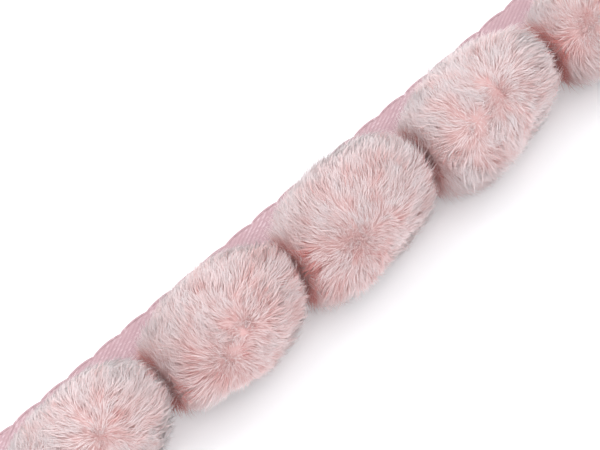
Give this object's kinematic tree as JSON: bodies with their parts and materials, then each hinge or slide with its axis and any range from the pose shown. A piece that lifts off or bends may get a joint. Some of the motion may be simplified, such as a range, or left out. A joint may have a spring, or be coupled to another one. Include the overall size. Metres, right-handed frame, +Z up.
{
  "type": "pompom fringe trim",
  "caption": "Flat woven herringbone tape with a scalloped back edge and a row of soft fur pompoms sewn side by side along its front edge.",
  "frame": {"origin": "middle of the trim's footprint, on the surface it lies on", "axes": "+X along the tape, +Y from the pompoms towards the tape's scalloped edge, +Z up"},
  "size_m": [0.21, 0.037, 0.0272],
  "materials": {
    "woven_tape": "satin herringbone weave",
    "fur_pile": "fine soft pile with pale tips"
  },
  "bodies": {
    "root": {"tape": "woven_tape", "pompom_1": "fur_pile", "pompom_2": "fur_pile", "pompom_3": "fur_pile", "pompom_4": "fur_pile", "pompom_5": "fur_pile"}
  },
  "joints": []
}
